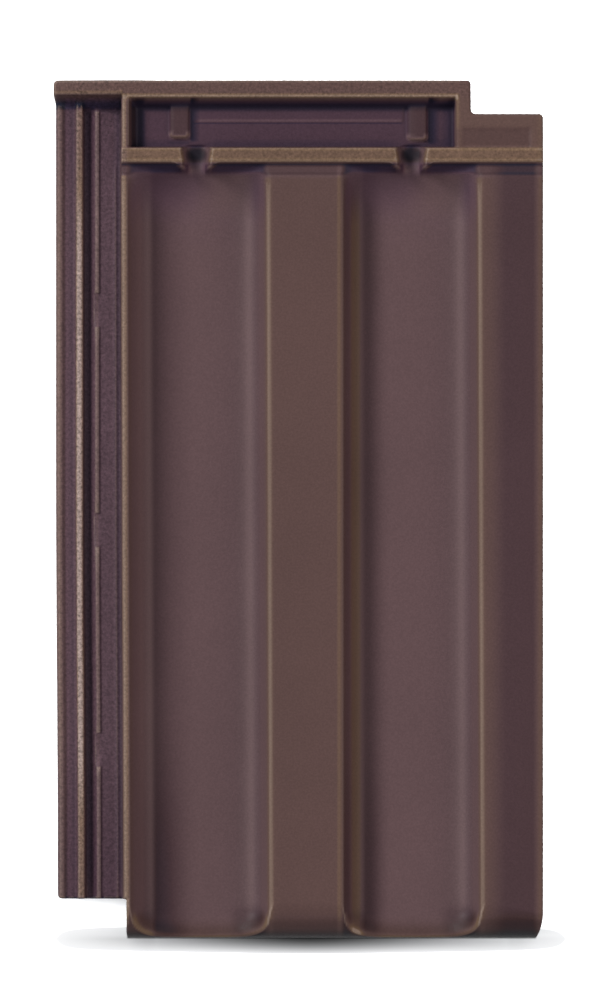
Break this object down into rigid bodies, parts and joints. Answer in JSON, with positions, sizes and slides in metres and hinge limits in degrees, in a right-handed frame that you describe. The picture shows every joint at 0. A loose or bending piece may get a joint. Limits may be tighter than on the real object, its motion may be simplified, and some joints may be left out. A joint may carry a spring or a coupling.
{
  "type": "clay roof tile",
  "caption": "Interlocking clay roof tile with flat-floored troughs, a ribbed side lock, a head lock with notched cross rib, a cover roll and hanging nibs.",
  "frame": {"origin": "middle of the footprint, on the level that the hanging nibs and foot ribs stand on", "axes": "+Z out of the roof, +Y up the slope to the head, +X across to the cover roll, so the side lock is at -X"},
  "size_m": [0.2722, 0.477, 0.043],
  "materials": {
    "fired_clay": "matte dark brown engobe on fired clay, thinner and paler on the edges"
  },
  "bodies": {
    "root": {"roof_tile": "fired_clay"}
  },
  "joints": []
}
